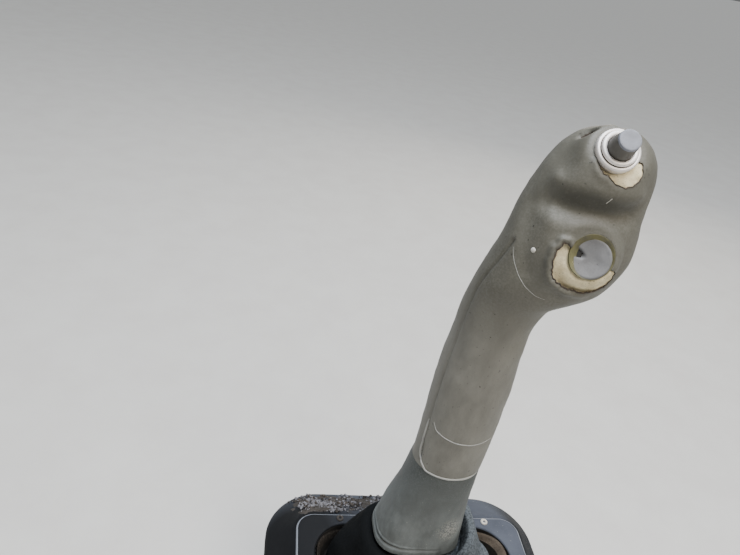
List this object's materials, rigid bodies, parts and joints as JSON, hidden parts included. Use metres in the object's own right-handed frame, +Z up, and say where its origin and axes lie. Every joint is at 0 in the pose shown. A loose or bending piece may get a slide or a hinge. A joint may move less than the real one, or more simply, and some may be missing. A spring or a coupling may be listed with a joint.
{
  "type": "skid steer control lever",
  "caption": "Hand control lever for a skid steer loader: moulded grip with thumb switches on a sprung, fore-and-aft swinging tube, with gaiter, console cover and pivot bracket.",
  "frame": {"origin": "centre of the four floor bolts, on the underside of the mounting plate", "axes": "+X forward on the machine, +Y outboard to the left, +Z up along the lever"},
  "size_m": [0.2, 0.14, 0.4496],
  "materials": {
    "plate_paint": "black paint, worn",
    "zinc_steel": "dull zinc",
    "lever_paint": "satin black paint",
    "bush_plastic": "natural nylon",
    "cover_plastic": "dusty blue-grey moulding",
    "washer_plastic": "white nylon",
    "gaiter_rubber": "black rubber, dusty",
    "grip_skin": "foamed urethane skin, dusty",
    "foam_core": "cream foam",
    "switch_body": "black plastic",
    "switch_chrome": "worn chrome",
    "plunger_rubber": "grey rubber",
    "cap_rubber": "grey rubber"
  },
  "bodies": {
    "base": {"mounting_plate": "plate_paint", "ear_inboard": "plate_paint", "ear_outboard": "plate_paint", "pivot_bolt": "zinc_steel", "pivot_washers": "zinc_steel", "pivot_nut": "zinc_steel", "cover_standoffs": "zinc_steel", "gaiter_retainer": "lever_paint", "gaiter": "gaiter_rubber", "cover": "cover_plastic", "cover_washers": "washer_plastic", "cover_screws": "zinc_steel"},
    "lever": {"neck_clip": "zinc_steel", "pivot_hub": "lever_paint", "lever_tube": "lever_paint", "crank_arm": "lever_paint", "hub_bushes": "bush_plastic", "grip_skin": "grip_skin", "cuff": "grip_skin", "foam_core": "foam_core", "upper_switch_body": "switch_body", "lower_switch_body": "switch_body", "switch_nut": "switch_chrome", "lower_cap": "cap_rubber"},
    "button": {"plunger": "plunger_rubber"}
  },
  "joints": [
    {"name": "lever_swing", "type": "hinge", "parent": "base", "child": "lever", "pos_m": [0, 0, -0.045], "axis": [0, 1, 0], "range_deg": [-15, 15], "stiffness_Nm_per_rad": 17, "deforming": ["gaiter"]},
    {"name": "button_press", "type": "slide", "parent": "lever", "child": "button", "axis": [0.1034, 0.7359, -0.6691], "range_m": [0, 0.003], "stiffness_N_per_m": 900}
  ]
}
